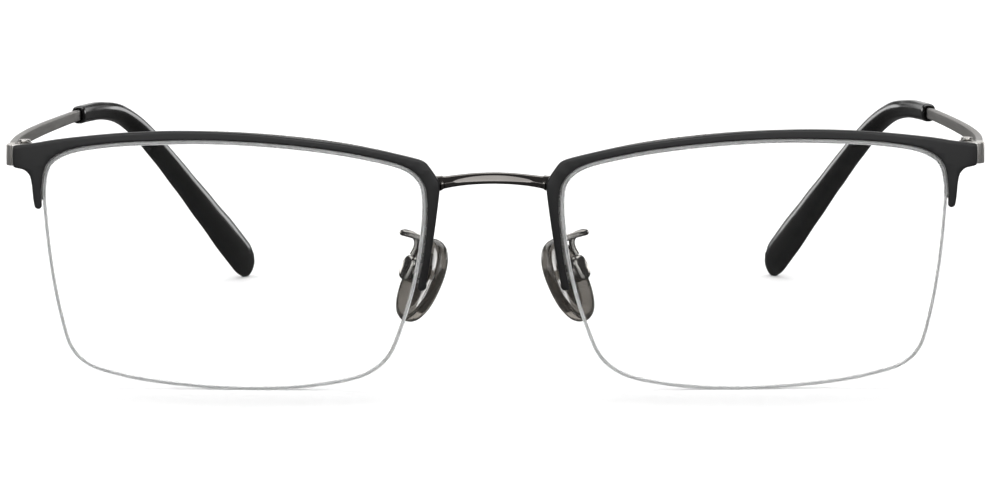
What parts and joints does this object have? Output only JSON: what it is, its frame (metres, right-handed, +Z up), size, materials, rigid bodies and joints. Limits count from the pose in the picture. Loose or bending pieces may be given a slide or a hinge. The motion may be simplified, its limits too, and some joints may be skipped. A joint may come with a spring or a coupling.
{
  "type": "half rim eyeglasses",
  "caption": "Half-rim spectacles: black brow bars, grooved lenses held by nylon cord, metal bridge, screw-on nose pads and folding temples with black tips.",
  "frame": {"origin": "centre of the underside of the bounding box, with the temples open", "axes": "+X is the wearer's left, -Y the way the wearer looks, +Z up; the lenses' lower edges and the temple tips rest at Z = 0"},
  "size_m": [0.1446, 0.14, 0.038],
  "materials": {
    "black_enamel": "satin",
    "gunmetal": "polished",
    "steel": "polished",
    "black_acetate": "gloss",
    "lens": "clear",
    "nylon": "translucent",
    "silicone": "smoky translucent"
  },
  "bodies": {
    "front": {"brow_bar_left": "black_enamel", "brow_bar_right": "black_enamel", "eyewire_left": "gunmetal", "eyewire_right": "gunmetal", "rim_liner_left": "nylon", "rim_liner_right": "nylon", "lens_left": "lens", "lens_right": "lens", "nylon_cord_left": "nylon", "nylon_cord_right": "nylon", "bridge": "gunmetal", "endpiece_left": "gunmetal", "endpiece_right": "gunmetal", "hinge_front_leaf_left": "gunmetal", "hinge_front_leaf_right": "gunmetal", "hinge_screw_left": "steel", "hinge_screw_right": "steel", "hinge_washer_upper_left": "nylon", "hinge_washer_upper_right": "nylon", "hinge_washer_lower_left": "nylon", "hinge_washer_lower_right": "nylon", "pad_arm_left": "gunmetal", "pad_arm_right": "gunmetal", "pad_box_left": "gunmetal", "pad_box_right": "gunmetal", "pad_screw_left": "steel", "pad_screw_right": "steel"},
    "temple_left": {"temple_left": "gunmetal", "temple_tip_left": "black_acetate", "hinge_temple_leaf_left": "gunmetal"},
    "temple_right": {"temple_right": "gunmetal", "temple_tip_right": "black_acetate", "hinge_temple_leaf_right": "gunmetal"},
    "pad_left": {"nose_pad_left": "silicone", "pad_core_left": "steel"},
    "pad_right": {"nose_pad_right": "silicone", "pad_core_right": "steel"}
  },
  "joints": [
    {"name": "temple_hinge_left", "type": "hinge", "parent": "front", "child": "temple_left", "pos_m": [0.0683, -0.0573, 0.0339], "axis": [0, 0, 1], "range_deg": [0, 80]},
    {"name": "temple_hinge_right", "type": "hinge", "parent": "front", "child": "temple_right", "pos_m": [-0.0683, -0.0573, 0.0339], "axis": [0, 0, -1], "range_deg": [0, 72]},
    {"name": "nose_pad_rock_left", "type": "hinge", "parent": "front", "child": "pad_left", "pos_m": [0.0122, -0.0591, 0.01715], "axis": [0.489, 0.8434, 0.2228], "range_deg": [-8, 8]},
    {"name": "nose_pad_rock_right", "type": "hinge", "parent": "front", "child": "pad_right", "pos_m": [-0.0122, -0.0591, 0.01715], "axis": [-0.489, 0.8434, 0.2228], "range_deg": [-8, 8]}
  ]
}
